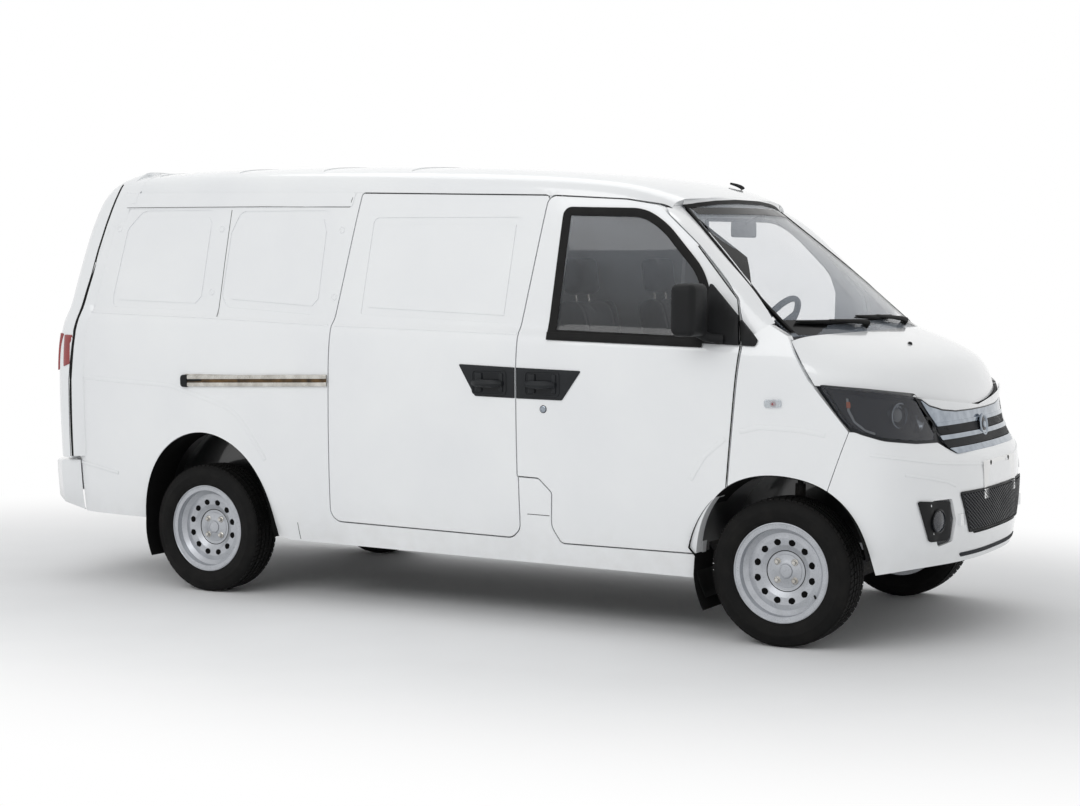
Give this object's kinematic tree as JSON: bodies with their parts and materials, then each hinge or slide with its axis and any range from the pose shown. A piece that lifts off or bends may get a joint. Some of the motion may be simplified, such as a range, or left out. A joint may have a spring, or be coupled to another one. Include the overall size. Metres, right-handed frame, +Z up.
{
  "type": "panel van",
  "caption": "Compact white panel van with a blank load side, sliding side doors, hinged front doors and bonnet, a top-hinged tailgate, steered front wheels and steel rims.",
  "frame": {"origin": "on the ground under the middle of the van's length and width", "axes": "+X forward, +Y to the van's left, +Z up"},
  "size_m": [4.7197, 2.06, 2.0658],
  "materials": {
    "white_paint": "gloss",
    "floor_paint": "satin",
    "glass": "gloss",
    "tyre": "matte",
    "rim": "satin",
    "lamp_clear": "gloss",
    "lamp_red": "gloss",
    "black_plastic": "satin",
    "steel": "satin",
    "bright_steel": "satin",
    "cloth": "matte"
  },
  "bodies": {
    "van_body": {"body_side_left": "white_paint", "body_side_right": "white_paint", "dashboard": "black_plastic", "door_rails": "bright_steel", "engine": "steel", "exhaust": "steel", "floor_pan": "floor_paint", "front_bulkhead": "floor_paint", "front_bumper": "white_paint", "front_lamps": "lamp_clear", "front_seats": "cloth", "front_suspension": "steel", "front_wings": "white_paint", "fuel_tank": "black_plastic", "grilles": "black_plastic", "leaf_springs": "steel", "rear_axle": "steel", "rear_bumper": "white_paint", "roof_panel": "white_paint", "screen_pillars": "white_paint", "sliding_door_left": "white_paint", "sliding_door_right": "white_paint", "windscreen": "glass", "wipers": "black_plastic"},
    "door_right": {"front_door_right": "white_paint", "door_glass_right": "glass", "mirror_right": "black_plastic"},
    "door_left": {"front_door_left": "white_paint", "door_glass_left": "glass", "mirror_left": "black_plastic"},
    "bonnet_lid": {"bonnet": "white_paint"},
    "tailgate_door": {"tailgate": "white_paint", "tailgate_glass": "glass", "tail_lamps": "lamp_red"},
    "steered_hub_right": {"knuckle_right": "steel"},
    "steered_hub_left": {"knuckle_left": "steel"},
    "wheel_front_right": {"tyre_front_right": "tyre", "rim_front_right": "rim"},
    "wheel_front_left": {"tyre_front_left": "tyre", "rim_front_left": "rim"},
    "wheel_rear_right": {"tyre_rear_right": "tyre", "rim_rear_right": "rim"},
    "wheel_rear_left": {"tyre_rear_left": "tyre", "rim_rear_left": "rim"},
    "hand_wheel": {"steering_wheel": "black_plastic"}
  },
  "joints": [
    {"name": "front_door_right_hinge", "type": "hinge", "parent": "van_body", "child": "door_right", "pos_m": [1.514, -0.845, 0.9], "axis": [0, 0, 1], "range_deg": [0, 65]},
    {"name": "front_door_left_hinge", "type": "hinge", "parent": "van_body", "child": "door_left", "pos_m": [1.514, 0.845, 0.9], "axis": [0, 0, -1], "range_deg": [0, 65]},
    {"name": "bonnet_hinge", "type": "hinge", "parent": "van_body", "child": "bonnet_lid", "pos_m": [1.708, 0, 1.3], "axis": [0, -1, 0], "range_deg": [0, 60]},
    {"name": "tailgate_hinge", "type": "hinge", "parent": "van_body", "child": "tailgate_door", "pos_m": [-1.828, 0, 2.062], "axis": [0, 1, 0], "range_deg": [0, 85]},
    {"name": "steering_right", "type": "hinge", "parent": "van_body", "child": "steered_hub_right", "pos_m": [1.68, -0.684, 0.31], "axis": [0, 0, 1], "range_deg": [-35, 35]},
    {"name": "steering_left", "type": "hinge", "parent": "van_body", "child": "steered_hub_left", "pos_m": [1.68, 0.684, 0.31], "axis": [0, 0, 1], "range_deg": [-35, 35]},
    {"name": "steering_wheel_turn", "type": "hinge", "parent": "van_body", "child": "hand_wheel", "pos_m": [1.14, 0.38, 1.265], "axis": [-0.8192, 0, 0.5736], "range_deg": [-560, 560]},
    {"name": "front_right_wheel_spin", "type": "hinge", "parent": "steered_hub_right", "child": "wheel_front_right", "pos_m": [1.68, -0.724, 0.31], "axis": [0, 1, 0], "continuous": true},
    {"name": "front_left_wheel_spin", "type": "hinge", "parent": "steered_hub_left", "child": "wheel_front_left", "pos_m": [1.68, 0.724, 0.31], "axis": [0, 1, 0], "continuous": true},
    {"name": "rear_right_wheel_spin", "type": "hinge", "parent": "van_body", "child": "wheel_rear_right", "pos_m": [-1.32, -0.724, 0.31], "axis": [0, 1, 0], "continuous": true},
    {"name": "rear_left_wheel_spin", "type": "hinge", "parent": "van_body", "child": "wheel_rear_left", "pos_m": [-1.32, 0.724, 0.31], "axis": [0, 1, 0], "continuous": true}
  ],
  "couplings": [
    {"joint": "steering_left", "follows": "steering_right", "ratio": 1},
    {"joint": "steering_wheel_turn", "follows": "steering_right", "ratio": 16}
  ]
}
